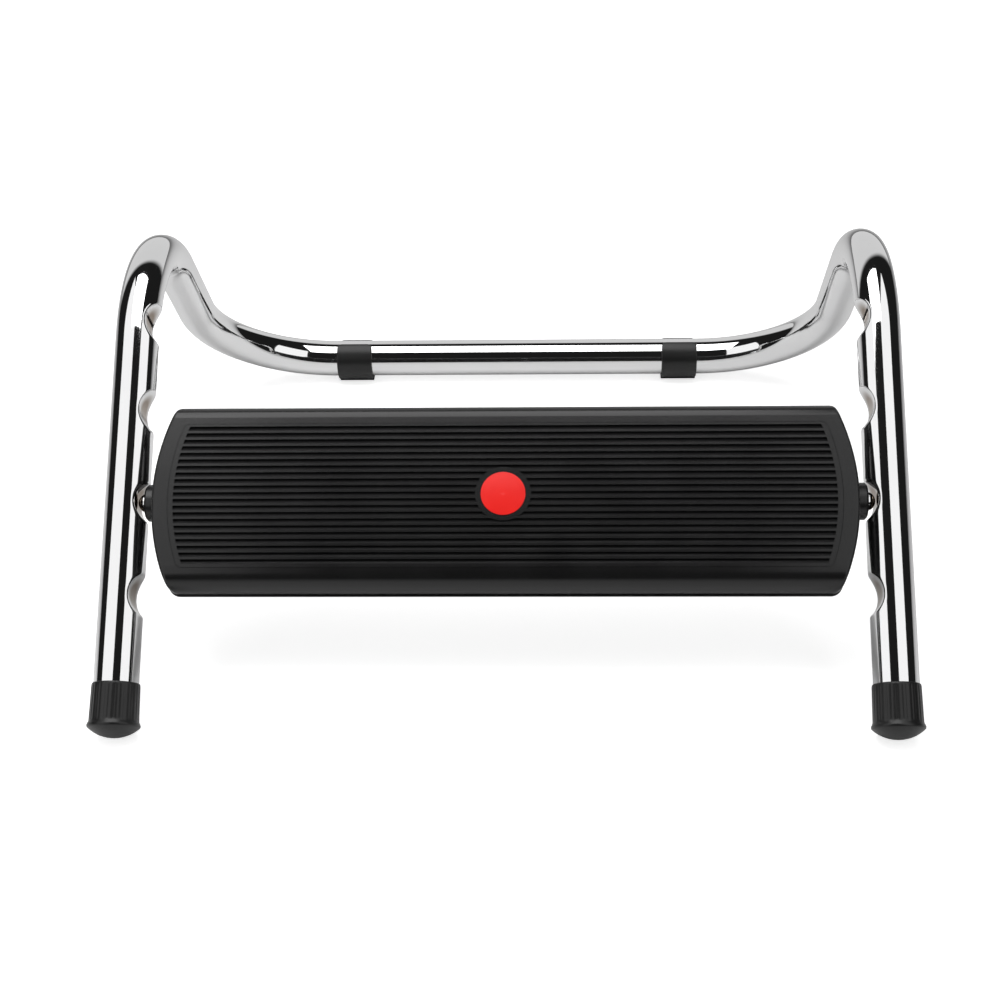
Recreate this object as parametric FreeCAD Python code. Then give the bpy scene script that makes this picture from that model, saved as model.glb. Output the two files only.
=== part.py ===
import FreeCAD, Part
import math
import os

# Tilting under desk footrest, in millimetres.
# X runs across the footrest, Y from its open front to the rear bar, and Z up from the floor.
# A bent chrome tube carries a black platform that tilts on a steel rod. The ends of the rod drop
# into pockets pressed in the legs, so that the platform can be lifted out to another height.

os.makedirs("parts", exist_ok=True)
Vector = FreeCAD.Vector

# Tube frame
tube_diameter = 25.4
tube_wall = 1.2
leg_angle = 39.3
leg_straight = 237.5
knee_radius = 76.5
rear_leg_angle = 54.0
corner_radius = 87.4

# Height pockets pressed in the inner side of each leg, numbered from the front
pocket_count = 4
first_pocket = 80.5
pocket_pitch = 54.5
platform_pocket = 2
pocket_radius = 13.8
pocket_lip_radius = 2.0
seat_clearance = 0.3

# Front foot caps
cap_length = 30.5
cap_sole = 6.5
cap_wall = 0.8
cap_draft = 0.4
cap_flare = 0.95
cap_flare_height = 2.4
cap_rim_height = 1.2
cap_dome = 6.0
cap_edge_radius = 1.5
cap_mouth_chamfer = 0.5
cap_floor_cut = 0.8
grip_clearance = 0.05

# Rear pads that clip on the rear bar, one at each end of its straight run
pad_length = 25.0
pad_corner_gap = 0.1
pad_wall = 2.3
pad_base_height = 3.5
pad_base_width = 10.0
pad_mouth_angle = 70.0
pad_mouth_turn = 21.0
pad_tip_radius = 1.0

# Pivot rod and its end collars
rod_diameter = 10.6
rod_dome_height = 3.7
rod_stand_out = 5.2
collar_diameter = 21.4
collar_chamfer = 1.2
collar_entry = 0.8
spigot_diameter = 15.0
spigot_length = 8.0
bearing_clearance = 0.05
rod_clearance = 0.3

# Platform outline
platform_width = 399.4
platform_end_gap = 5.1
platform_end_sag = 12.0
platform_tilt = 2.5
platform_front = 54.6
platform_rear = 54.0
corner_round = 6.0
corner_run_out = 0.1
top_height = 17.3
seam_height = 0.8
nose_radius = 13.0
rear_edge_radius = 8.0
end_edge_radius = 2.0
cover_wall = 2.5
end_wall = 3.0

# Platform base
rim_thickness = 1.6
rim_front_lip = 0.8
rim_rear_lip = 2.6
rim_end_lip = 0.3
base_depth = 9.0
base_wall = 2.5
base_edge_radius = 5.0
base_inset = 1.5

# Tread mat and its ribs
mat_front = 42.6
mat_rear = 42.0
mat_end_inset = 9.5
mat_corner_round = 4.0
mat_thickness = 3.0
mat_clearance = 0.2
groove_count = 21
groove_pitch = 3.93
groove_width = 2.6
groove_depth = 1.5
groove_back_middle = (0.38, 0.42)
groove_end_border = 3.0

# Red centre disc
disc_diameter = 25.2
disc_crown = 0.9
disc_edge = 0.4
disc_stud_diameter = 8.0
disc_stud_length = 3.5
disc_clearance = 0.15
disc_ring_width = 3.2

# Ribs and bearing bosses inside the platform
rib_thickness = 2.2
rib_spacing = 80.0
rib_count = 4
boss_radius = 11.5
boss_length = 8.0

# Screws that close the platform from below
screw_columns = 3
screw_column_spacing = 150.0
screw_row_spacing = 76.0
screw_diameter = 3.5
screw_length = 14.0
screw_head_diameter = 7.0
screw_head_height = 2.4
screw_head_round = 0.8
screw_recess_depth = 3.4
screw_post_radius = 5.5
screw_slack = 0.3
pilot_end_room = 1.0

# How far a cut stands clear of the face it opens, and how near an edge lies to a face it is on
cut_clear = 1.0
edge_tolerance = 0.01

# Values that follow from the driving sizes. The legs stand clear of both ends of the platform.
tube_radius = tube_diameter / 2
leg_spacing = platform_width + 2 * platform_end_gap + tube_diameter
leg_x = leg_spacing / 2
inner_face_x = leg_x - tube_radius
lean = math.radians(leg_angle)
drop = math.radians(rear_leg_angle)
rod_radius = rod_diameter / 2
collar_radius = collar_diameter / 2
cap_bore = tube_radius + grip_clearance
cap_mouth_radius = cap_bore + cap_wall
cap_radius = cap_mouth_radius + cap_draft
cap_rim_radius = cap_radius + cap_flare
sole_sphere_radius = (cap_rim_radius ** 2 + cap_dome ** 2) / (2 * cap_dome)
cap_edge_centre = cap_rim_radius - cap_edge_radius
cap_edge_station = sole_sphere_radius - math.sqrt(
    (sole_sphere_radius - cap_edge_radius) ** 2 - cap_edge_centre ** 2
)
half_depth = (platform_front + platform_rear) / 2
end_arc_radius = (half_depth ** 2 + platform_end_sag ** 2) / (2 * platform_end_sag)
half_width = platform_width / 2
collar_outer_x = inner_face_x + collar_entry
rod_tip_x = collar_outer_x + rod_stand_out
dome_sphere_radius = (rod_radius ** 2 + rod_dome_height ** 2) / (2 * rod_dome_height)
pocket_depth = collar_entry + rod_stand_out + seat_clearance
foot_height = (
    cap_edge_centre * math.cos(lean)
    - cap_edge_station * math.sin(lean)
    + cap_edge_radius
    - cap_floor_cut
)
bar_height = tube_radius + grip_clearance + pad_base_height
knee_start_height = foot_height + leg_straight * math.sin(lean)
knee_end_height = knee_start_height + knee_radius * (math.cos(drop) - math.cos(lean))
rear_run = (knee_end_height - bar_height) / math.sin(drop)
rear_straight = rear_run - corner_radius
bar_half_length = leg_x - corner_radius
far = 2 * leg_spacing


def side_point(x, station):
    """Point on the centre line of a leg or knee, at a station along it from the cap's end."""
    knee_angle = max(0.0, station - leg_straight) / knee_radius
    along = min(station, leg_straight)
    slope = lean - knee_angle
    y = along * math.cos(lean) + knee_radius * (math.sin(lean) - math.sin(slope))
    z = foot_height + along * math.sin(lean) + knee_radius * (math.cos(slope) - math.cos(lean))
    return Vector(x, y, z)


def side_direction(station):
    """Direction of the leg's centre line at a station."""
    slope = lean - max(0.0, station - leg_straight) / knee_radius
    return Vector(0, math.cos(slope), math.sin(slope))


def arc_edge(start, middle, end):
    return Part.Arc(start, middle, end).toShape()


def line_edge(start, end):
    return Part.LineSegment(start, end).toShape()


def tube_path():
    """Centre line of the whole tube, from the left foot over both knees to the right foot."""
    knee_turn = lean + drop
    knee_length = knee_radius * knee_turn
    down = Vector(0, math.cos(drop), -math.sin(drop))
    half = {}
    for side in (-1, 1):
        start = side_point(side * leg_x, cap_sole)
        knee_start = side_point(side * leg_x, leg_straight)
        knee_middle = side_point(side * leg_x, leg_straight + knee_length / 2)
        knee_end = side_point(side * leg_x, leg_straight + knee_length)
        inward = Vector(-side, 0, 0)
        corner_start = knee_end + down * rear_straight
        centre = corner_start + inward * corner_radius
        corner_middle = centre + (down - inward) * (corner_radius / math.sqrt(2))
        corner_end = centre + down * corner_radius
        half[side] = [start, knee_start, knee_middle, knee_end, corner_start, corner_middle, corner_end]
    left = half[-1]
    right = half[1]
    edges = [
        line_edge(left[0], left[1]),
        arc_edge(left[1], left[2], left[3]),
        line_edge(left[3], left[4]),
        arc_edge(left[4], left[5], left[6]),
        line_edge(left[6], right[6]),
        arc_edge(right[6], right[5], right[4]),
        line_edge(right[4], right[3]),
        arc_edge(right[3], right[2], right[1]),
        line_edge(right[1], right[0]),
    ]
    return Part.Wire(edges)


def round_bar(path, radius):
    """Solid round bar that follows the path."""
    start = side_point(-leg_x, cap_sole)
    circle = Part.Circle(start, side_direction(cap_sole), radius).toShape()
    return path.makePipe(Part.Face(Part.Wire(circle)))


def pocket_cutter(side, station, radius):
    """Round bar across the leg that presses a pocket into its inner side."""
    inward = Vector(-side, 0, 0)
    along = side_direction(station)
    across = Vector(0, -along.z, along.y)
    axis_distance = tube_radius - pocket_depth + pocket_radius
    reach = 2 * tube_diameter
    base = side_point(side * leg_x, station) + inward * axis_distance - across * reach
    return Part.makeCylinder(radius, 2 * reach, base, across)


def pocket_stations():
    return [first_pocket + number * pocket_pitch for number in range(pocket_count)]


def tube_frame():
    """One bent steel tube with open ends and eight pressed pockets with rolled lips."""
    path = tube_path()
    outside = round_bar(path, tube_radius)
    inside = round_bar(path, tube_radius - tube_wall)
    for side in (-1, 1):
        for station in pocket_stations():
            outside = outside.cut(pocket_cutter(side, station, pocket_radius))
            inside = inside.cut(pocket_cutter(side, station, pocket_radius + tube_wall))
    lips = [edge for edge in outside.Edges if is_pocket_lip(edge)]
    outside = outside.makeFillet(pocket_lip_radius, lips)
    return outside.cut(inside)


def is_pocket_lip(edge):
    """True for an edge where a pocket meets the round outside of the tube."""
    low = min(abs(vertex.X) for vertex in edge.Vertexes)
    middle = edge.valueAt((edge.FirstParameter + edge.LastParameter) / 2)
    from_axis = leg_x - abs(middle.x)
    curve = type(edge.Curve).__name__
    return curve not in ("Circle", "Line") and from_axis > 0 and low > inner_face_x - tube_wall


def revolve_about_x(points):
    """Solid turned about the X axis from (x, radius) points."""
    corners = [Vector(x, 0, radius) for x, radius in points]
    wire = Part.makePolygon(corners + [corners[0]])
    return Part.Face(wire).revolve(Vector(0, 0, 0), Vector(1, 0, 0), 360)


def is_ring_at(edge, height):
    """True for a level edge at that height."""
    box = edge.BoundBox
    return abs(box.ZMin - height) < edge_tolerance and abs(box.ZMax - height) < edge_tolerance


def foot_cap(side):
    """Rubber cap pushed over the open tube end, its domed sole inside a thin rim cut flat on the floor."""
    rim_top = cap_dome + cap_rim_height
    flare_top = rim_top + cap_flare_height
    rim = Part.makeCylinder(cap_rim_radius, rim_top)
    flare = Part.makeCone(cap_rim_radius, cap_radius, cap_flare_height, Vector(0, 0, rim_top))
    body = Part.makeCone(cap_radius, cap_mouth_radius, cap_length - flare_top, Vector(0, 0, flare_top))
    ball = Part.makeSphere(sole_sphere_radius, Vector(0, 0, sole_sphere_radius))
    cap = rim.fuse(flare).fuse(body).removeSplitter().common(ball)
    sole_edge = [edge for edge in cap.Edges if is_ring_at(edge, cap_dome)]
    mouth_edge = [edge for edge in cap.Edges if is_ring_at(edge, cap_length)]
    cap = cap.makeFillet(cap_edge_radius, sole_edge)
    cap = cap.makeChamfer(cap_mouth_chamfer, mouth_edge)
    bore = Part.makeCylinder(cap_bore, cap_length, Vector(0, 0, cap_sole))
    cap = cap.cut(bore)
    cap.rotate(Vector(0, 0, 0), Vector(1, 0, 0), leg_angle - 90)
    cap.translate(side_point(side * leg_x, 0))
    floor = Part.makeBox(far, far, far, Vector(-far / 2, -far / 2, -far))
    return cap.cut(floor)


def bar_centre():
    """Middle of the rear bar."""
    knee_end = side_point(0, leg_straight + knee_radius * (lean + drop))
    return Vector(0, knee_end.y + rear_run * math.cos(drop), bar_height)


def rear_pad(side):
    """Rubber clip round the rear bar, open above and behind, with a narrow flat foot below."""
    centre = bar_centre()
    outer_x = bar_half_length - pad_corner_gap
    start = Vector(min(side * outer_x, side * (outer_x - pad_length)), centre.y, centre.z)
    across = Vector(1, 0, 0)
    bore = tube_radius + grip_clearance
    outer = bore + pad_wall
    ring = Part.makeCylinder(outer, pad_length, start, across)
    foot_corner = Vector(start.x, centre.y - pad_base_width / 2, 0)
    foot = Part.makeBox(pad_length, pad_base_width, centre.z - bore / 2, foot_corner)
    pad = ring.fuse(foot).cut(Part.makeCylinder(bore, pad_length, start, across))
    front_lip = math.radians(pad_mouth_turn - pad_mouth_angle / 2)
    rear_lip = math.radians(pad_mouth_turn + pad_mouth_angle / 2)
    reach = 2 * outer
    mouth = Part.makePolygon([
        start,
        start + Vector(0, reach * math.sin(front_lip), reach * math.cos(front_lip)),
        start + Vector(0, reach * math.sin(rear_lip), reach * math.cos(rear_lip)),
        start,
    ])
    pad = pad.cut(Part.Face(mouth).extrude(across * pad_length)).removeSplitter()
    upper = [edge for edge in pad.Edges if edge.BoundBox.ZMin > centre.z]
    tips = [edge for edge in upper if edge.Length > pad_length - edge_tolerance]
    return pad.makeFillet(pad_tip_radius, tips)


# The platform is built level, with the rod's axis as its X axis, Y to its rear edge and Z to its top.

def place_platform(shape):
    """Turn a platform piece to its tilt and set it on the pockets that carry it."""
    station = first_pocket + (platform_pocket - 1) * pocket_pitch
    placed = shape.copy()
    placed.rotate(Vector(0, 0, 0), Vector(1, 0, 0), leg_angle - platform_tilt)
    placed.translate(side_point(0, station))
    return placed


def plan(inset, front, rear, low, high, corner):
    """Upright prism of the platform's outline: long straight sides and bulging ends."""
    radius = end_arc_radius - inset
    centre_x = half_width - end_arc_radius
    middle_y = (platform_rear - platform_front) / 2

    def end_x(y):
        return centre_x + math.sqrt(radius ** 2 - (y - middle_y) ** 2)

    rear_x = end_x(rear)
    front_x = end_x(-front)
    edges = [
        line_edge(Vector(-rear_x, rear, low), Vector(rear_x, rear, low)),
        arc_edge(
            Vector(rear_x, rear, low),
            Vector(centre_x + radius, middle_y, low),
            Vector(front_x, -front, low),
        ),
        line_edge(Vector(front_x, -front, low), Vector(-front_x, -front, low)),
        arc_edge(
            Vector(-front_x, -front, low),
            Vector(-centre_x - radius, middle_y, low),
            Vector(-rear_x, rear, low),
        ),
    ]
    prism = Part.Face(Part.Wire(edges)).extrude(Vector(0, 0, high - low))
    upright = high - low - edge_tolerance
    corners = [edge for edge in prism.Edges if edge.BoundBox.ZLength > upright]
    return prism.makeFillet(corner, corners)


def cover_section(inset):
    """Section of the cover, a flat top with a round nose at the front and a rolled rear edge."""
    top = top_height - inset
    front = -platform_front + inset
    rear = platform_rear - inset
    nose = nose_radius - inset
    roll = rear_edge_radius - inset
    diagonal = math.sqrt(0.5)
    low = seam_height
    edges = [
        line_edge(Vector(0, rear, low), Vector(0, rear, top - roll)),
        arc_edge(
            Vector(0, rear, top - roll),
            Vector(0, rear - roll + roll * diagonal, top - roll + roll * diagonal),
            Vector(0, rear - roll, top),
        ),
        line_edge(Vector(0, rear - roll, top), Vector(0, front + nose, top)),
        arc_edge(
            Vector(0, front + nose, top),
            Vector(0, front + nose - nose * diagonal, top - nose + nose * diagonal),
            Vector(0, front, top - nose),
        ),
        line_edge(Vector(0, front, top - nose), Vector(0, front, low)),
        line_edge(Vector(0, front, low), Vector(0, rear, low)),
    ]
    face = Part.Face(Part.Wire(edges))
    face.translate(Vector(-half_width, 0, 0))
    return face.extrude(Vector(platform_width, 0, 0))


def cover_block(inset, end_inset, corner):
    """The cover's outer body, or with insets the hollow inside it."""
    front = platform_front - inset + corner_run_out
    rear = platform_rear - inset + corner_run_out
    outline = plan(end_inset, front, rear, seam_height, top_height, corner)
    return cover_section(inset).common(outline)


def rib_stations():
    return [(number - (rib_count - 1) / 2) * rib_spacing for number in range(rib_count)]


def screw_places():
    places = []
    for column in range(screw_columns):
        for side in (-1, 1):
            x = (column - (screw_columns - 1) / 2) * screw_column_spacing
            places.append((x, side * screw_row_spacing / 2))
    return places


def x_bar(radius, start_x, end_x):
    return Part.makeCylinder(radius, end_x - start_x, Vector(start_x, 0, 0), Vector(1, 0, 0))


def bearing_inner_x():
    """How far out from the middle the bearing blocks begin."""
    return half_width - end_wall - boss_length


def inner_parts(low, high):
    """Bearing blocks, cross ribs and screw posts inside one half of the shell, between two heights."""
    inner = bearing_inner_x()
    outer = half_width - end_wall / 2
    slab = Part.makeBox(far, far, high - low, Vector(-far / 2, -far / 2, low))
    parts = [
        x_bar(boss_radius, inner, outer).common(slab),
        x_bar(boss_radius, -outer, -inner).common(slab),
    ]
    for x in rib_stations():
        corner = Vector(x - rib_thickness / 2, -far / 2, low)
        parts.append(Part.makeBox(rib_thickness, far, high - low, corner))
    for x, y in screw_places():
        parts.append(Part.makeCylinder(screw_post_radius, high - low, Vector(x, y, low)))
    return parts


def bore_for_rod(shape):
    """Open the running bores for the collars' spigots and the wider way for the rod."""
    shape = shape.cut(x_bar(rod_radius + rod_clearance, -half_width, half_width))
    inner = bearing_inner_x()
    outer = half_width + end_wall
    bore = spigot_diameter / 2 + bearing_clearance
    return shape.cut(x_bar(bore, inner, outer)).cut(x_bar(bore, -outer, -inner))


def footplate_cover():
    """Moulded top shell with the mat's recess, cross ribs, bearing halves and screw posts."""
    outside = cover_block(0, 0, corner_round)
    ends = [edge for edge in outside.Edges if is_end_edge(edge)]
    outside = outside.makeFillet(end_edge_radius, ends)
    hollow_top = top_height - mat_thickness - cover_wall
    roof = Part.makeBox(far, far, far, Vector(-far / 2, -far / 2, hollow_top))
    hollow = cover_block(cover_wall, end_wall, corner_round - cover_wall).cut(roof)
    shell = outside.cut(hollow)
    for piece in inner_parts(seam_height, hollow_top):
        shell = shell.fuse(piece.common(hollow))
    shell = bore_for_rod(shell.removeSplitter())
    recess = plan(
        mat_end_inset - mat_clearance,
        mat_front + mat_clearance,
        mat_rear + mat_clearance,
        top_height - mat_thickness,
        top_height + mat_thickness,
        mat_corner_round,
    )
    stud_way = disc_stud_diameter / 2 + disc_clearance
    stud_hole = Part.makeCylinder(stud_way, far, Vector(0, 0, hollow_top - cover_wall))
    shell = shell.cut(recess).cut(stud_hole)
    pilot_length = screw_tip_height() - seam_height + pilot_end_room
    for x, y in screw_places():
        pilot = Part.makeCylinder(screw_diameter / 2, pilot_length, Vector(x, y, seam_height))
        shell = shell.cut(pilot)
    return shell


def is_end_edge(edge):
    """True for the upper edges of the cover's two bulging end walls."""
    box = edge.BoundBox
    middle = edge.valueAt((edge.FirstParameter + edge.LastParameter) / 2)
    high = box.ZMin > top_height - edge_tolerance
    wide = abs(middle.x) > half_width - platform_end_sag
    return high and wide


def screw_head_seat():
    return -base_depth + screw_recess_depth


def screw_tip_height():
    return screw_head_seat() + screw_length


def base_block(inset, low, high, corner):
    """Upright prism of the base tray, drawn in all round from the cover's outline."""
    return plan(inset, platform_front - inset, platform_rear - inset, low, high, corner)


def footplate_base():
    """Moulded tray with a thin rim that the cover stands on, and posts for the screws."""
    tray = base_block(base_inset, -base_depth, seam_height - rim_thickness / 2, corner_round)
    bottom = [edge for edge in tray.Edges if edge.BoundBox.ZMax < -base_depth + edge_tolerance]
    tray = tray.makeFillet(base_edge_radius, bottom)
    rim = plan(
        -rim_end_lip,
        platform_front + rim_front_lip,
        platform_rear + rim_rear_lip,
        seam_height - rim_thickness,
        seam_height,
        corner_round + rim_front_lip,
    )
    outside = tray.fuse(rim).removeSplitter()
    hollow_low = base_wall - base_depth
    hollow_corner = corner_round - base_wall
    hollow = base_block(base_inset + base_wall, hollow_low, seam_height + cut_clear, hollow_corner)
    shell = outside.cut(hollow)
    for piece in inner_parts(-base_depth, seam_height):
        shell = shell.fuse(piece.common(hollow))
    shell = bore_for_rod(shell.removeSplitter())
    head_radius = screw_head_diameter / 2 + screw_slack
    shank_radius = screw_diameter / 2 + screw_slack
    for x, y in screw_places():
        foot = Vector(x, y, -base_depth)
        head_way = Part.makeCylinder(head_radius, screw_recess_depth, foot)
        shank_way = Part.makeCylinder(shank_radius, base_depth + seam_height, foot)
        shell = shell.cut(head_way).cut(shank_way)
    return shell


def tread_mat():
    """Rubber mat with saw-like ribs across it, a plain border and a round seat for the disc."""
    low = top_height - mat_thickness
    above = top_height + cut_clear
    field_inset = mat_end_inset + groove_end_border
    mat = plan(mat_end_inset, mat_front, mat_rear, low, top_height, mat_corner_round)
    field = plan(field_inset, mat_front, mat_rear, low, above, mat_corner_round)
    ring = Part.makeCylinder(disc_diameter / 2 + disc_ring_width, far)
    grooves = []
    for number in range(groove_count):
        rear_wall = (number - (groove_count - 1) / 2) * groove_pitch + groove_width / 2
        grooves.append(groove_prism(rear_wall))
    cutter = Part.makeCompound(grooves).common(field).cut(ring)
    mat = mat.cut(cutter)
    return mat.cut(Part.makeCylinder(disc_diameter / 2 + disc_clearance, far))


def groove_prism(rear_wall):
    """One groove: a steep wall at its rear and a rounded back that rises to the next crest."""
    front = rear_wall - groove_width
    above = top_height + cut_clear
    floor = top_height - groove_depth
    along, down = groove_back_middle
    middle = Vector(-half_width, front + groove_width * along, top_height - groove_depth * down)
    edges = [
        line_edge(Vector(-half_width, front, above), Vector(-half_width, rear_wall, above)),
        line_edge(Vector(-half_width, rear_wall, above), Vector(-half_width, rear_wall, floor)),
        arc_edge(Vector(-half_width, rear_wall, floor), middle, Vector(-half_width, front, top_height)),
        line_edge(Vector(-half_width, front, top_height), Vector(-half_width, front, above)),
    ]
    return Part.Face(Part.Wire(edges)).extrude(Vector(platform_width, 0, 0))


def red_disc():
    """Plain crowned disc with a stud that pushes into the cover."""
    radius = disc_diameter / 2
    low = top_height - mat_thickness
    crown_radius = (radius ** 2 + disc_crown ** 2) / (2 * disc_crown)
    edge_height = top_height + disc_edge
    blank = Part.makeCylinder(radius, edge_height + disc_crown - low, Vector(0, 0, low))
    ball = Part.makeSphere(crown_radius, Vector(0, 0, edge_height + disc_crown - crown_radius))
    stud = Part.makeCylinder(disc_stud_diameter / 2, disc_stud_length, Vector(0, 0, low - disc_stud_length))
    return blank.common(ball).fuse(stud).removeSplitter()


def axle_rod():
    """Bright steel rod with domed ends, right through the platform."""
    shank_end = rod_tip_x - rod_dome_height
    rod = x_bar(rod_radius, -shank_end, shank_end)
    for side in (-1, 1):
        centre = Vector(side * (rod_tip_x - dome_sphere_radius), 0, 0)
        ball = Part.makeSphere(dome_sphere_radius, centre)
        corner = Vector(min(side * shank_end, side * rod_tip_x), -rod_radius, -rod_radius)
        keep = Part.makeBox(rod_dome_height, rod_diameter, rod_diameter, corner)
        rod = rod.fuse(ball.common(keep))
    return rod.removeSplitter()


def collar(side):
    """Nylon collar pressed on the rod, with a spigot that the platform turns on."""
    flange_x = half_width + rim_end_lip + seat_clearance
    spigot_x = flange_x - spigot_length
    profile = [
        (spigot_x, rod_radius),
        (spigot_x, spigot_diameter / 2),
        (flange_x, spigot_diameter / 2),
        (flange_x, collar_radius),
        (collar_outer_x - collar_chamfer, collar_radius),
        (collar_outer_x, collar_radius - collar_chamfer),
        (collar_outer_x, rod_radius),
    ]
    return revolve_about_x([(side * x, radius) for x, radius in profile])


def base_screws():
    """Six pan-head screws, driven from below through the base into the cover's posts."""
    screws = []
    seat = screw_head_seat()
    face = seat - screw_head_height
    for x, y in screw_places():
        head = Part.makeCylinder(screw_head_diameter / 2, screw_head_height, Vector(x, y, face))
        rim = [edge for edge in head.Edges if edge.BoundBox.ZMax < face + edge_tolerance]
        head = head.makeFillet(screw_head_round, rim)
        shank = Part.makeCylinder(screw_diameter / 2, screw_length, Vector(x, y, seat))
        screws.append(head.fuse(shank).removeSplitter())
    return Part.makeCompound(screws)


pieces = {
    "tube_frame": tube_frame(),
    "left_foot_cap": foot_cap(-1),
    "right_foot_cap": foot_cap(1),
    "left_rear_pad": rear_pad(-1),
    "right_rear_pad": rear_pad(1),
    "axle_rod": place_platform(axle_rod()),
    "left_collar": place_platform(collar(-1)),
    "right_collar": place_platform(collar(1)),
    "footplate_cover": place_platform(footplate_cover()),
    "footplate_base": place_platform(footplate_base()),
    "tread_mat": place_platform(tread_mat()),
    "red_disc": place_platform(red_disc()),
    "base_screws": place_platform(base_screws()),
}

# The origin is on the floor, under the middle of the frame.
front_edge = pieces["left_foot_cap"].optimalBoundingBox().YMin
rear_edge = pieces["left_rear_pad"].optimalBoundingBox().YMax
middle = Vector(0, -(front_edge + rear_edge) / 2, 0)
for name, piece in pieces.items():
    piece.translate(middle)
    piece.exportStep("parts/" + name + ".step")
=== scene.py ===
import math

import bmesh
import bpy
from mathutils import Matrix, Vector


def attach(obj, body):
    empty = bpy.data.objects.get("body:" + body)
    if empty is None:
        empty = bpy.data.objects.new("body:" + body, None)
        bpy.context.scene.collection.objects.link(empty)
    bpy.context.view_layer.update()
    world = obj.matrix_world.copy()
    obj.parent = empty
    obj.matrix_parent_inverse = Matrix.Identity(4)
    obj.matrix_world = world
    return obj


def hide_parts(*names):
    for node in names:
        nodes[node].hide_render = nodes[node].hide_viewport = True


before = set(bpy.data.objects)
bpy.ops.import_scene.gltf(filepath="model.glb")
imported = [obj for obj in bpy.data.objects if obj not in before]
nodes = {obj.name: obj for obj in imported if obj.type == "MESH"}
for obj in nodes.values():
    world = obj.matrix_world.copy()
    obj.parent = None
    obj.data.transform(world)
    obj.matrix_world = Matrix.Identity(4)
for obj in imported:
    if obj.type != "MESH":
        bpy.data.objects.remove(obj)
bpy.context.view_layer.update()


# Floor
# The footrest stands on a plain pale studio floor, a painted sheet that keeps its soft shadow
# and runs out to white with distance.

class Wire:
    """One output of a shader node. A sum written on it adds the Math nodes that work it out."""

    def __init__(self, finish, socket):
        self.finish = finish
        self.socket = socket

    def maths(self, operation, *values):
        return self.finish.add("ShaderNodeMath", {"operation": operation}, dict(enumerate(values)))

    def __add__(self, other):
        return self.maths("ADD", self, other)

    def __sub__(self, other):
        return self.maths("SUBTRACT", self, other)

    def __rsub__(self, other):
        return self.maths("SUBTRACT", other, self)

    def __mul__(self, other):
        return self.maths("MULTIPLY", self, other)

    __radd__ = __add__
    __rmul__ = __mul__


class Finish:
    """The nodes of one finish, joined up as they are added."""

    def __init__(self, tree):
        self.tree = tree
        tree.nodes.clear()

    def add(self, kind, settings=None, inputs=None, output=0):
        node = self.tree.nodes.new(kind)
        for name, value in (settings or {}).items():
            setattr(node, name, value)
        for name, value in (inputs or {}).items():
            if isinstance(value, Wire):
                self.tree.links.new(value.socket, node.inputs[name])
            else:
                node.inputs[name].default_value = value
        return Wire(self, node.outputs[output]) if node.outputs else node

    def fade(self, value, low, high):
        """0 where the value is under low, 1 where it is over high, and smooth between."""
        ranges = {"From Min": low, "From Max": high, "Value": value}
        return self.add("ShaderNodeMapRange", {"interpolation_type": "SMOOTHSTEP"}, ranges)


def new_finish(name):
    material = bpy.data.materials.new(name)
    material.use_nodes = True
    return material, Finish(material.node_tree)


floor_half = 4.0
floor_white, finish = new_finish("painted_floor")
place = finish.add("ShaderNodeTexCoord", output="Object")
away = finish.add("ShaderNodeVectorMath", {"operation": "LENGTH"}, {0: place}, output="Value")
seen = finish.add("ShaderNodeLightPath", output="Is Camera Ray")
paint = finish.add("ShaderNodeBsdfDiffuse", inputs={"Color": (0.86, 0.86, 0.86, 1)})
glow = finish.add(
    "ShaderNodeEmission", inputs={"Strength": seen * (0.7 + 0.3 * finish.fade(away, 0.25, 0.7))}
)
surface = finish.add("ShaderNodeAddShader", inputs={0: paint, 1: glow})
finish.add("ShaderNodeOutputMaterial", inputs={"Surface": surface})

floor_mesh = bpy.data.meshes.new("studio_floor")
corners = [(x * floor_half, y * floor_half, 0) for x, y in ((-1, -1), (1, -1), (1, 1), (-1, 1))]
floor_mesh.from_pydata(corners, [], [(0, 1, 2, 3)])
floor_mesh.materials.append(floor_white)
studio_floor = bpy.data.objects.new("studio_floor", floor_mesh)
bpy.context.scene.collection.objects.link(studio_floor)


# Studio
# Two upright soft boxes stand close by the legs, one on each side, and a wide one hangs overhead.
# Behind the object the room is white, and everywhere else it is dark, which gives chrome its streaks.

def soft_box(name, middle, up, facing, width, height, brightness):
    """A rectangle of even light. Brightness 1 looks white in a mirror."""
    light = bpy.data.lights.new(name, "AREA")
    light.shape = "RECTANGLE"
    light.size = width
    light.size_y = height
    light.energy = brightness * math.pi * width * height
    box = bpy.data.objects.new(name, light)
    back = -Vector(facing).normalized()
    side = Vector(up).cross(back).normalized()
    turn = Matrix((side, back.cross(side), back)).transposed().to_4x4()
    box.matrix_world = Matrix.Translation(middle) @ turn
    box.visible_camera = False
    bpy.context.scene.collection.objects.link(box)


leg_slope = math.radians(39.3)
up_leg = Vector((0, math.cos(leg_slope), math.sin(leg_slope)))
off_leg = Vector((0, -math.sin(leg_slope), math.cos(leg_slope)))


def box_beside(name, low, high, brightness):
    """A soft box whose lower and upper edges are given as (x, height over the legs)."""
    ends = [Vector((x, -0.08, 0.10)) + off_leg * rise + up_leg * 0.24 * rise for x, rise in (low, high)]
    across = Vector((high[0] - low[0], 0, 0)) + off_leg * (high[1] - low[1])
    facing = across.cross(up_leg) * (-1 if low[0] < 0 else 1)
    soft_box(name, (ends[0] + ends[1]) / 2, across, facing, 0.75, across.length, brightness)


box_beside("left_soft_box", (-0.402, 0.111), (-0.273, 0.646), 1.07)
box_beside("right_soft_box", (0.380, 0.140), (0.272, 0.780), 1.07)
soft_box("top_soft_box", (-0.15, 0.15, 1.35), (0, 1, 0), (0, 0, -1), 1.0, 1.1, 3.3)

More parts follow.
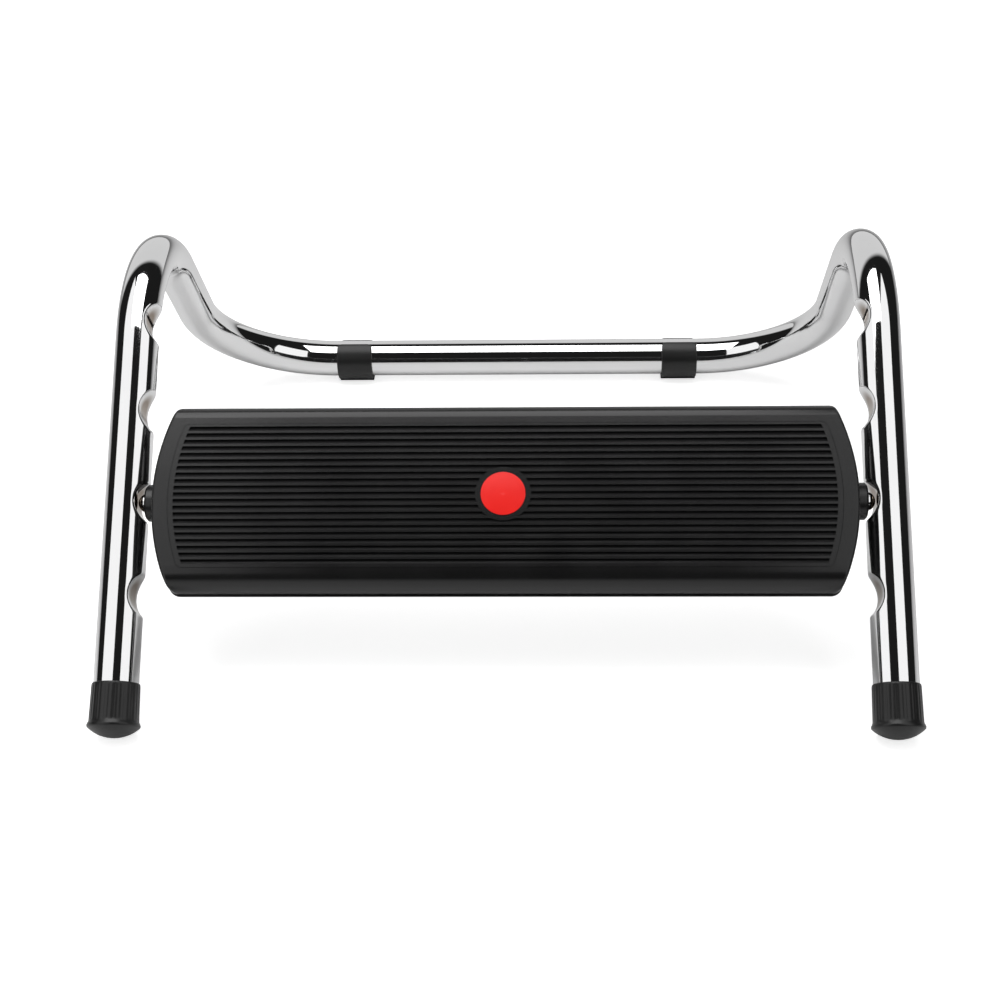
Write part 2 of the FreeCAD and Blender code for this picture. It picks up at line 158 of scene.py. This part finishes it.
world = bpy.data.worlds.new("white_room")
bpy.context.scene.world = world
world.use_nodes = True
room = Finish(world.node_tree)
direction = room.add("ShaderNodeTexCoord", output="Generated")
towards_back = (-0.12, 0.99, 0.0)
behind = room.add(
    "ShaderNodeVectorMath", {"operation": "DOT_PRODUCT"}, {0: direction, 1: towards_back}, output="Value"
)
mirrored = 0.015 + 0.87 * room.fade(behind, 0.66, 0.74)
path = {name: room.add("ShaderNodeLightPath", output=name) for name in ("Is Camera Ray", "Is Glossy Ray")}
plain = 1 - path["Is Camera Ray"] - path["Is Glossy Ray"]
level = path["Is Camera Ray"] + path["Is Glossy Ray"] * mirrored + plain * 0.2
light = room.add("ShaderNodeBackground", inputs={"Strength": level})
room.add("ShaderNodeOutputWorld", inputs={"Surface": light})


# Camera
# It looks down over the open front of the footrest, a little to the right of its middle.

camera_place = Vector((0.03461, -0.88491, 0.67624))
camera_yaw, camera_dip, camera_roll = (math.radians(angle) for angle in (-2.67, 36.32, -1.75))
ahead = Vector((
    math.sin(camera_yaw) * math.cos(camera_dip),
    math.cos(camera_yaw) * math.cos(camera_dip),
    -math.sin(camera_dip),
))
level_side = Vector((math.cos(camera_yaw), -math.sin(camera_yaw), 0))
level_top = level_side.cross(ahead)
side = level_side * math.cos(camera_roll) + level_top * math.sin(camera_roll)
top = level_top * math.cos(camera_roll) - level_side * math.sin(camera_roll)
lens = bpy.data.cameras.new("photo_camera")
lens.sensor_width = 36.0
lens.lens = 61.90
camera = bpy.data.objects.new("photo_camera", lens)
camera.matrix_world = Matrix.Translation(camera_place) @ Matrix((side, top, -ahead)).transposed().to_4x4()
bpy.context.scene.collection.objects.link(camera)
bpy.context.scene.camera = camera
bpy.context.scene.view_settings.view_transform = "Standard"


# Tube frame
# One length of 25.4 mm steel tube, bent at both knees and both rear corners, polished and chromed.
# Four round pockets are pressed in the inner side of each front leg, with rolled lips, and their
# chrome is darkened towards brown with depth, a painted dark reflection of their hollows.

MM = 0.001
tube_radius = 12.7
tube_bore = 11.5
leg_x = 217.5
foot_y, foot_z = -198.222, 6.856
leg_start, leg_straight = 6.5, 237.5
knee_radius, rear_slope = 76.5, math.radians(54.0)
corner_radius = 87.4
rear_straight = 69.334
knee_turn = leg_slope + rear_slope
knee_length = knee_radius * knee_turn
pocket_stations = (80.5, 135.0, 189.5, 244.0)
pocket_radius, pocket_floor = 13.8, 6.4
pocket_lip = 1.9


def leg_point(station):
    """Height and depth of the leg's centre line, and its slope, at a station from the foot."""
    knee = max(0.0, station - leg_straight) / knee_radius
    along = min(station, leg_straight)
    slope = leg_slope - knee
    y = foot_y + along * math.cos(leg_slope) + knee_radius * (math.sin(leg_slope) - math.sin(slope))
    z = foot_z + along * math.sin(leg_slope) + knee_radius * (math.cos(slope) - math.cos(leg_slope))
    return y, z, slope


def leg_ring(side, station):
    """Centre, inward and upward directions of the tube at a station of one leg."""
    y, z, slope = leg_point(station)
    return Vector((side * leg_x, y, z)), Vector((-side, 0, 0)), Vector((0, -math.sin(slope), math.cos(slope)))


def pocket_depths(side, centre, direction):
    """Distances from the tube's centre line to each pressed pocket, in one direction."""
    for station in pocket_stations:
        middle, inward, normal = leg_ring(side, station)
        start = centre - middle - inward * (pocket_floor + pocket_radius)
        start -= normal * start.dot(normal)
        step = direction - normal * direction.dot(normal)
        a, b, c = step.dot(step), start.dot(step), start.dot(start) - pocket_radius ** 2
        inside = b * b - a * c
        if inside > 0 and a > 1e-9 and -b > 0:
            yield (-b - math.sqrt(inside)) / a


def rolled(first, second, width):
    """The smaller of two radii, rounded over where they meet."""
    blend = max(width - abs(first - second), 0.0) / width
    return min(first, second) - blend * blend * width / 4


plain_step, knee_step, pocket_step = 3.0, 2.0, 0.7
pocket_reach = 17


def stations_of_leg():
    """Stations of the rings up a leg and over its knee, close together at the pockets."""
    station, end, made = leg_start, leg_straight + knee_length, []
    while station < end:
        made.append(station)
        near = min(abs(station - pocket) for pocket in pocket_stations)
        beyond = knee_step if station > leg_straight else plain_step
        station += pocket_step if near < pocket_reach else beyond
    return made + [end]


rear_steps, corner_steps, bar_steps = 12, 56, 40


def tube_rings():
    """Rings of the whole tube from the left foot to the right foot, as (centre, inward, normal, side)."""
    stations = stations_of_leg()
    halves = {}
    for side in (-1, 1):
        rings = [(*leg_ring(side, station), side) for station in stations]
        end, inward, normal = leg_ring(side, stations[-1])
        down = Vector((0, math.cos(rear_slope), -math.sin(rear_slope)))
        corner_start = end + down * rear_straight
        for part in range(1, rear_steps):
            rings.append((end + down * rear_straight * part / rear_steps, inward, normal, 0))
        hub = corner_start + inward * corner_radius
        for part in range(corner_steps + 1):
            turn = math.pi / 2 * part / corner_steps
            centre = hub + (down * math.sin(turn) - inward * math.cos(turn)) * corner_radius
            face = inward * math.cos(turn) - down * math.sin(turn)
            rings.append((centre, face, normal, 0))
        halves[side] = rings
    left, right = halves[-1], halves[1]
    bar_start, bar_end = left[-1], right[-1]
    for part in range(1, bar_steps):
        left.append((bar_start[0].lerp(bar_end[0], part / bar_steps), bar_start[1], bar_start[2], 0))
    return left + right[::-1]


def new_piece(name, points, faces, material, sharp=35.0):
    """A smooth-shaded mesh with its edges kept crisp where it turns sharply."""
    mesh = bpy.data.meshes.new(name)
    mesh.from_pydata([Vector(point) * MM for point in points], [], faces)
    mesh.validate()
    shaped = bmesh.new()
    shaped.from_mesh(mesh)
    bmesh.ops.recalc_face_normals(shaped, faces=shaped.faces)
    shaped.to_mesh(mesh)
    shaped.free()
    mesh.shade_smooth()
    mesh.set_sharp_from_angle(angle=math.radians(sharp))
    mesh.materials.append(material)
    piece = bpy.data.objects.new(name, mesh)
    bpy.context.scene.collection.objects.link(piece)
    return piece


def skin(rings):
    """Points and faces of a closed skin over rings that have the same count of points."""
    count = len(rings[0])
    points = [point for ring in rings for point in ring]
    faces = []
    for row in range(len(rings) - 1):
        for number in range(count):
            beside = (number + 1) % count
            low, high = row * count, (row + 1) * count
            faces.append((low + number, low + beside, high + beside, high + number))
    faces.append(tuple(range(count)))
    faces.append(tuple(len(points) - count + number for number in range(count)))
    return points, faces


def speckle(finish, place, size, detail=2.0):
    """Noise from 0 to 1 whose patches are about size across, in metres."""
    return finish.add("ShaderNodeTexNoise", inputs={"Vector": place, "Scale": 1 / size, "Detail": detail})


def relief(finish, height, depth, strength=1.0):
    """Surface direction over a relief of that depth in metres."""
    return finish.add("ShaderNodeBump", inputs={"Height": height, "Distance": depth, "Strength": strength})


def colour_mix(finish, share, first, second):
    return finish.add(
        "ShaderNodeMix", {"data_type": "RGBA"}, {0: share, 6: (*first, 1), 7: (*second, 1)}, output=2
    )


chrome, finish = new_finish("polished_chrome")
place = finish.add("ShaderNodeTexCoord", output="Object")
haze = speckle(finish, place, 0.03, 3.0)
polish = speckle(finish, place, 0.012)
# Painted dark reflection: the chrome's colour turns towards dark brown with the pockets' depth.
painted_reflection = finish.add("ShaderNodeAttribute", {"attribute_name": "pocket_painted_reflection"}, output="Fac")
plating = colour_mix(finish, haze, (0.80, 0.80, 0.805), (0.86, 0.86, 0.86))
surface = finish.add("ShaderNodeBsdfPrincipled", inputs={
    "Base Color": finish.add(
        "ShaderNodeMix", {"data_type": "RGBA"}, {0: painted_reflection, 6: plating, 7: (0.24, 0.19, 0.15, 1)}, output=2
    ),
    "Metallic": 1.0,
    "Roughness": 0.03 + 0.035 * haze,
    "Normal": relief(finish, polish, 0.00004, 0.5),
})
finish.add("ShaderNodeOutputMaterial", inputs={"Surface": surface})

tube_sides = 96
tube_rows, painted_reflection_rows = [], []
for centre, inward, normal, side in tube_rings():
    row, painted_reflection_row = [], []
    for number in range(tube_sides):
        turn = 2 * math.pi * number / tube_sides
        direction = inward * math.cos(turn) + normal * math.sin(turn)
        radius = tube_radius
        if side:
            for depth in pocket_depths(side, centre, direction):
                radius = rolled(radius, depth, pocket_lip)
        row.append(centre + direction * radius)
        # Share of the painted dark reflection: none on the full tube, rising to all of it where a pocket is
        # 4.5 mm deep.
        painted_reflection_row.append(min(max(tube_radius - radius - 1.0, 0.0) / 3.5, 1.0))
    tube_rows.append(row)
    painted_reflection_rows.append(painted_reflection_row)


def bore_end(row, deeper):
    """Rings that turn the tube's open end inwards, down its bore."""
    centre = sum(row, Vector()) / len(row)
    mouth = [centre + (point - centre) * tube_bore / tube_radius for point in row]
    inner = [point + deeper for point in mouth]
    return [inner, mouth]


into_left = (tube_rows[6][0] - tube_rows[0][0]).normalized() * 16
into_right = (tube_rows[-7][0] - tube_rows[-1][0]).normalized() * 16
tube_rows = bore_end(tube_rows[0], into_left) + tube_rows + bore_end(tube_rows[-1], into_right)[::-1]
tube_frame = new_piece("chromed_tube", *skin(tube_rows), chrome, sharp=50.0)
# Per-point share of the painted dark reflection in the pockets; none on the bore ends.
painted_reflection_layer = tube_frame.data.attributes.new("pocket_painted_reflection", "FLOAT", "POINT")
bore_rows = [[0.0] * tube_sides] * 2
for number, share in enumerate(share for row in bore_rows + painted_reflection_rows + bore_rows for share in row):
    painted_reflection_layer.data[number].value = share
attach(tube_frame, "frame")
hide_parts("tube_frame")


# Foot caps
# Black rubber cups pushed over the open tube ends, moulded with fine lengthwise flutes and a
# thin rim round a domed sole, which is worn flat where it stands on the floor.

cap_flutes = 30
cap_sides = cap_flutes * 6
flute_depth = 0.22
cap_profile = (
    (0, 0, 0), (0.09, 1.97, 0), (0.36, 3.92, 0), (0.81, 5.84, 0), (1.43, 7.72, 0), (2.22, 9.52, 0),
    (3.18, 11.25, 0), (4.29, 12.88, 0), (5.54, 14.4, 0), (5.77, 14.61, 0), (6.04, 14.77, 0), (6.34, 14.87, 0),
    (6.65, 14.9, 0), (7, 14.9, 0), (7.4, 14.82, 0), (8, 14.5, 0), (8.6, 14.2, 0), (9.4, 13.98, 0.4),
    (10.4, 13.93, 1), (18, 13.78, 1), (28.4, 13.59, 1), (29.2, 13.55, 0.5), (29.8, 13.46, 0), (30.2, 13.3, 0),
    (30.45, 13.05, 0), (30.4, 12.8, 0), (29.8, 12.75, 0), (6.5, 12.75, 0), (6.5, 0, 0),
)


def turned(profile, sides, flutes, depth):
    """Points and faces of a form turned about Z from (height, radius, share of flute) rows."""
    rings = []
    for height, radius, share in profile:
        ring = []
        for number in range(sides):
            turn = 2 * math.pi * number / sides
            flute = (0.5 - 0.5 * math.cos(flutes * turn)) ** 3
            reach = max(radius, 0.001) - depth * share * flute
            ring.append(Vector((reach * math.cos(turn), reach * math.sin(turn), height)))
        rings.append(ring)
    return skin(rings)


def moulded(name, dark, pale, rough, grain_size, grain_depth):
    """Black moulding with fine grain, slightly uneven in tone and sheen."""
    material, finish = new_finish(name)
    place = finish.add("ShaderNodeTexCoord", output="Object")
    cloud = speckle(finish, place, 0.025, 3.0)
    grain = speckle(finish, place, grain_size, 1.0)
    surface = finish.add("ShaderNodeBsdfPrincipled", inputs={
        "Base Color": colour_mix(finish, cloud, dark, pale),
        "Roughness": rough - 0.04 + 0.08 * cloud + 0.03 * grain,
        "Specular IOR Level": 0.4,
        "Normal": relief(finish, grain, grain_depth, 0.6),
    })
    finish.add("ShaderNodeOutputMaterial", inputs={"Surface": surface})
    return material


black_rubber = moulded("moulded_rubber", (0.007, 0.007, 0.007), (0.012, 0.012, 0.012), 0.32, 0.0008, 0.00005)


def trimmed(piece):
    """Cut a piece off flat at the floor and close the cut."""
    shaped = bmesh.new()
    shaped.from_mesh(piece.data)
    geometry = shaped.verts[:] + shaped.edges[:] + shaped.faces[:]
    cut = bmesh.ops.bisect_plane(
        shaped, geom=geometry, plane_co=(0, 0, 0), plane_no=(0, 0, 1), clear_inner=True
    )
    edges = [part for part in cut["geom_cut"] if isinstance(part, bmesh.types.BMEdge)]
    bmesh.ops.holes_fill(shaped, edges=edges, sides=0)
    bmesh.ops.recalc_face_normals(shaped, faces=shaped.faces)
    shaped.to_mesh(piece.data)
    shaped.free()
    piece.data.set_sharp_from_angle(angle=math.radians(35.0))


for side, word in ((-1, "left"), (1, "right")):
    points, faces = turned(cap_profile, cap_sides, cap_flutes, flute_depth)
    y, z, slope = leg_point(0.0)
    lay_along = Matrix.Translation((side * leg_x, y, z)) @ Matrix.Rotation(slope - math.pi / 2, 4, "X")
    cap = new_piece(word + "_rubber_foot", [lay_along @ point for point in points], faces, black_rubber)
    trimmed(cap)
    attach(cap, "frame")
    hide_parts(word + "_foot_cap")


# Rear pads
# Two black rubber clips sprung on the rear bar, each with its mouth above and behind the bar. The
# lips are rounded, and a narrow flat foot keeps the bar off the floor.

bar_y, bar_z = 188.035, 16.25
pad_length, pad_x = 25.0, 117.5
pad_outer, pad_inner = 15.05, 12.75
pad_foot = 5.0
front_lip, rear_lip = math.radians(-14.0), math.radians(56.0)


def arc(radius, start, end, count, centre=(0.0, 0.0)):
    """Points (y, z) on a circle, with angles from straight up towards the rear."""
    turns = [start + (end - start) * number / count for number in range(count + 1)]
    return [(centre[0] + radius * math.sin(turn), centre[1] + radius * math.cos(turn)) for turn in turns]


def rounded_lip(turn, side):
    """Half circle round the end of the pad's wall, from its inner to its outer face."""
    half_wall = (pad_outer - pad_inner) / 2
    middle = (pad_outer + pad_inner) / 2
    back = turn + side * half_wall / middle
    centre = (middle * math.sin(back), middle * math.cos(back))
    return arc(half_wall, back - math.pi, back - math.pi + side * math.pi, 8, centre)


lip_corner, pad_edge = 3.5, 0.4
pad_steps = 32
lip_room = (pad_outer - pad_inner) / (pad_outer + pad_inner)
foot_turn = math.pi - math.asin(pad_foot / pad_outer)


def pad_profile(retreat):
    """Outline (y, z) of a pad whose lips stop short by an angle."""
    front, rear = front_lip - retreat, rear_lip + retreat
    flat = pad_foot - pad_edge
    foot = ((pad_foot, pad_edge - bar_z), (flat, -bar_z), (-flat, -bar_z), (-pad_foot, pad_edge - bar_z))
    outline = rounded_lip(rear, 1) + arc(pad_outer, rear + lip_room, foot_turn, 24)[1:] + list(foot)
    outline += arc(pad_outer, 2 * math.pi - foot_turn, 2 * math.pi + front - lip_room, 30)
    outline += rounded_lip(front, -1)[-2:0:-1]
    return outline + arc(pad_inner, 2 * math.pi + front - lip_room, rear + lip_room, 48)[:-1]


for side, word in ((-1, "left"), (1, "right")):
    rings = []
    for part in range(pad_steps + 1):
        along = pad_length * (1 - math.cos(math.pi * part / pad_steps)) / 2
        x = side * pad_x - pad_length / 2 + along
        near = min(along, pad_length - along)
        short = max(lip_corner - near, 0.0)
        retreat = (lip_corner - math.sqrt(max(lip_corner ** 2 - short ** 2, 0.0))) / pad_outer
        inset = pad_edge - math.sqrt(max(pad_edge ** 2 - max(pad_edge - near, 0.0) ** 2, 0.0))
        outline = pad_profile(retreat)
        ring = []
        for number, (y, z) in enumerate(outline):
            before = outline[number - 1]
            after = outline[(number + 1) % len(outline)]
            slope = Vector((after[0] - before[0], after[1] - before[1])).normalized()
            ring.append(Vector((x, bar_y + y + slope.y * inset, bar_z + z - slope.x * inset)))
        rings.append(ring)
    pad = new_piece(word + "_rubber_pad", *skin(rings), black_rubber, sharp=40.0)
    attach(pad, "frame")
    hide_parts(word + "_rear_pad")


# Platform cover and base
# Two black mouldings with a fine satin grain, closed on each other round the rod. The cover has a
# round nose, a rolled rear edge and bulging ends, and stands on the thin rim of the base.

black_shell = moulded("satin_moulding", (0.006, 0.006, 0.0062), (0.010, 0.010, 0.0102), 0.21, 0.0006, 0.00003)


def dressed(name, material, edge_round=0.0):
    """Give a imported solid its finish, and round its moulded edges over by that many millimetres."""
    node = nodes[name]
    node.data.materials.clear()
    node.data.materials.append(material)
    if edge_round:
        soft = node.modifiers.new("soft_edges", "BEVEL")
        soft.width = edge_round * MM
        soft.segments = 2
        soft.limit_method = "ANGLE"
        soft.angle_limit = math.radians(35.0)
        soft.harden_normals = True


dressed("footplate_cover", black_shell, 0.4)
dressed("footplate_base", black_shell, 0.3)


# Tread mat
# A ribbed black rubber mat, moulded in one piece with its saw-like ribs and seated in the cover.
# Its sheen is that of the shell round it, and its black is a little deeper.

tread_rubber = moulded("tread_rubber", (0.005, 0.005, 0.0052), (0.008, 0.008, 0.0082), 0.21, 0.0007, 0.00004)
dressed("tread_mat", tread_rubber, 0.22)


# Red disc
# A plain red plastic disc, moulded with a slight crown. Its stud pushes through the mat into the
# cover.

red_plastic, finish = new_finish("red_plastic")
place = finish.add("ShaderNodeTexCoord", output="Object")
cloud = speckle(finish, place, 0.01)
surface = finish.add("ShaderNodeBsdfPrincipled", inputs={
    "Base Color": colour_mix(finish, cloud, (0.80, 0.014, 0.012), (0.88, 0.022, 0.017)),
    "Roughness": 0.30 + 0.06 * cloud,
    "Specular IOR Level": 0.2,
    "Normal": relief(finish, speckle(finish, place, 0.0006, 1.0), 0.00002, 0.4),
})
finish.add("ShaderNodeOutputMaterial", inputs={"Surface": surface})
dressed("red_disc", red_plastic)


# Rod, collars and screws
# A bright steel rod with domed ends runs through the platform in two black nylon collars. Six
# zinc plated screws close the base from below.

black_nylon = moulded("black_nylon", (0.006, 0.006, 0.0062), (0.010, 0.010, 0.0102), 0.24, 0.0007, 0.00003)


def plated(name, tone, rough, grain_size):
    """Plated steel with a fine drawn grain along X."""
    material, finish = new_finish(name)
    place = finish.add("ShaderNodeTexCoord", output="Object")
    drawn = finish.add("ShaderNodeVectorMath", {"operation": "MULTIPLY"}, {0: place, 1: (0.05, 1, 1)})
    grain = speckle(finish, drawn, grain_size)
    surface = finish.add("ShaderNodeBsdfPrincipled", inputs={
        "Base Color": colour_mix(finish, grain, tone, [0.93 * part for part in tone]),
        "Metallic": 1.0,
        "Roughness": rough + 0.06 * grain,
        "Normal": relief(finish, grain, 0.00002, 0.4),
    })
    finish.add("ShaderNodeOutputMaterial", inputs={"Surface": surface})
    return material


dressed("axle_rod", plated("bright_steel", (0.85, 0.85, 0.85), 0.06, 0.0008))
dressed("left_collar", black_nylon, 0.3)
dressed("right_collar", black_nylon, 0.3)
dressed("base_screws", plated("zinc_plate", (0.55, 0.56, 0.60), 0.28, 0.0012))
